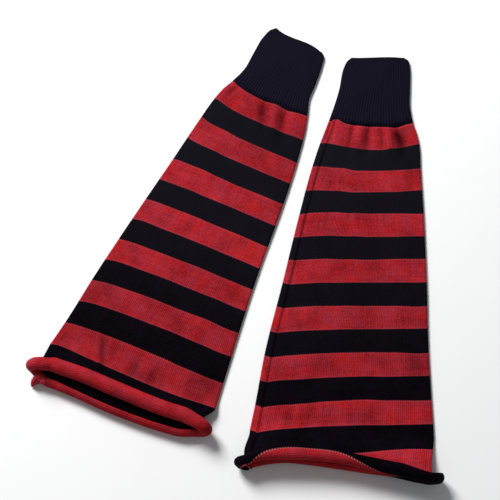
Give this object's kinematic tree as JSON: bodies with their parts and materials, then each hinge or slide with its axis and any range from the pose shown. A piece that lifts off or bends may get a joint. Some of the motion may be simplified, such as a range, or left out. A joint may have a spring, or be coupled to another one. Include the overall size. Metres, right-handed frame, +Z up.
{
  "type": "pair of leg warmers",
  "caption": "Pair of flared knitted leg warmers in red and black stripes, each with a black ribbed cuff, a side seam and a hem that curls outward into a roll, laid flat.",
  "frame": {"origin": "on the surface the pair lies on, at the middle of the pair's extents in plan", "axes": "+Y towards the cuffs, -Y towards the curled hems, +X to the right of someone who looks down with the cuffs pointing away, +Z up out of the surface"},
  "size_m": [0.4238, 0.5018, 0.031],
  "materials": {
    "black_rib": "matt ribbed knit, black",
    "striped_knit": "matt stocking stitch in bands of red and black of one width",
    "curled_knit": "matt, the purl side of the same striped knit",
    "seam_yarn": "matt yarn, red and black"
  },
  "bodies": {
    "root": {"left_cuff": "black_rib", "left_leg": "striped_knit", "left_hem_roll": "curled_knit", "left_seam_tail": "seam_yarn", "right_cuff": "black_rib", "right_leg": "striped_knit", "right_hem_roll": "curled_knit", "right_seam_tail": "seam_yarn"}
  },
  "joints": []
}
